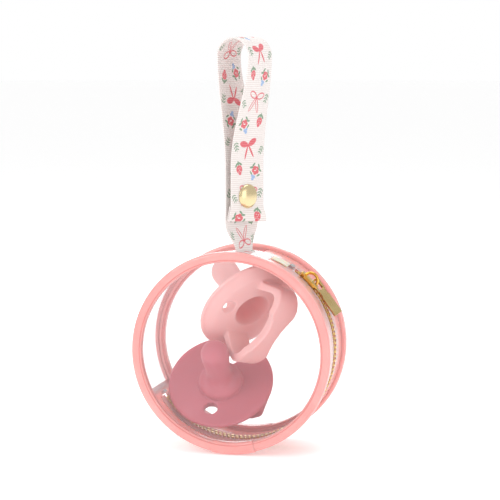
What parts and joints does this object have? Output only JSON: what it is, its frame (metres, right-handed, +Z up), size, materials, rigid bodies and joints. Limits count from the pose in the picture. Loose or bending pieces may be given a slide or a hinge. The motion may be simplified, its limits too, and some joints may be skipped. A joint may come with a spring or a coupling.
{
  "type": "zip case with soothers",
  "caption": "Round clear zip case with pink rims, a printed ribbon wrist strap with a snap, and two one-piece silicone soothers with bow handles inside.",
  "frame": {"origin": "inside top of the wrist loop, where a hand or hook holds it", "axes": "+Z up along the hanging case, +Y from the front clear panel to the back one, +X to the right seen from the front"},
  "size_m": [0.086, 0.0427, 0.1763],
  "materials": {
    "pink_vinyl": "glossy translucent vinyl",
    "clear_vinyl": "clear glossy vinyl",
    "gold_metal": "polished",
    "champagne_metal": "satin",
    "silver_metal": "polished",
    "zip_tape": "woven tape",
    "cream_tape": "woven tape",
    "white_satin": "satin",
    "printed_ribbon": "ribbed ribbon with a small printed pattern",
    "rose_silicone": "matte",
    "blush_silicone": "matte"
  },
  "bodies": {
    "strap": {"strap_foot": "printed_ribbon", "strap_back_strand": "printed_ribbon", "strap_crown": "printed_ribbon", "snap_stud": "champagne_metal", "snap_rivet": "champagne_metal"},
    "strap_flap": {"strap_front_strand": "printed_ribbon", "snap_cap": "champagne_metal", "snap_socket": "champagne_metal"},
    "case_front": {"front_panel": "clear_vinyl", "front_rim": "pink_vinyl", "front_rim_joint": "pink_vinyl", "pink_gusset_front": "pink_vinyl", "clear_gusset_front": "clear_vinyl", "gusset_seam_front": "pink_vinyl", "zip_tape_front": "zip_tape", "zip_tape_start": "cream_tape", "zip_teeth_front": "gold_metal", "zip_top_stop": "silver_metal", "zip_bottom_stop": "gold_metal", "label": "white_satin", "strap_tab": "printed_ribbon"},
    "case_back": {"back_panel": "clear_vinyl", "back_rim": "pink_vinyl", "back_rim_joint": "pink_vinyl", "pink_gusset_back": "pink_vinyl", "clear_gusset_back": "clear_vinyl", "gusset_seam_back": "pink_vinyl", "zip_tape_back": "zip_tape", "zip_teeth_back": "gold_metal"},
    "slider": {"zip_slider": "gold_metal", "slider_bail": "gold_metal"},
    "pull": {"pull_tab": "champagne_metal"},
    "rose": {"rose_soother": "rose_silicone"},
    "blush": {"blush_soother": "blush_silicone"}
  },
  "joints": [
    {"name": "strap_swing", "type": "hinge", "parent": "strap", "child": "case_front", "pos_m": [0, 0, -0.09011], "axis": [0, 1, 0], "range_deg": [-58, 58]},
    {"name": "case_open", "type": "hinge", "parent": "case_front", "child": "case_back", "pos_m": [-0.0405, 0.006, -0.11035], "axis": [0.5, 0, 0.866], "range_deg": [0, 70]},
    {"name": "zip_slide", "type": "hinge", "parent": "case_front", "child": "slider", "pos_m": [-0.003, 0.006, -0.132], "axis": [0, 1, 0], "range_deg": [0, 185]},
    {"name": "pull_swing", "type": "hinge", "parent": "slider", "child": "pull", "pos_m": [0.02923, 0.006, -0.10257], "axis": [0, -1, 0], "range_deg": [0, 165]},
    {"name": "strap_flap", "type": "hinge", "parent": "strap", "child": "strap_flap", "pos_m": [0.00623, -0.00436, -0.0066], "axis": [-0.5736, -0.8192, 0], "range_deg": [0, 75]},
    {"name": "rose_shift", "type": "hinge", "parent": "case_front", "child": "rose", "pos_m": [-0.003, 0.006, -0.132], "axis": [0, 1, 0], "range_deg": [-10, 0]},
    {"name": "blush_shift", "type": "hinge", "parent": "rose", "child": "blush", "pos_m": [-0.003, 0.006, -0.132], "axis": [0, 1, 0], "range_deg": [-12, 2]}
  ]
}
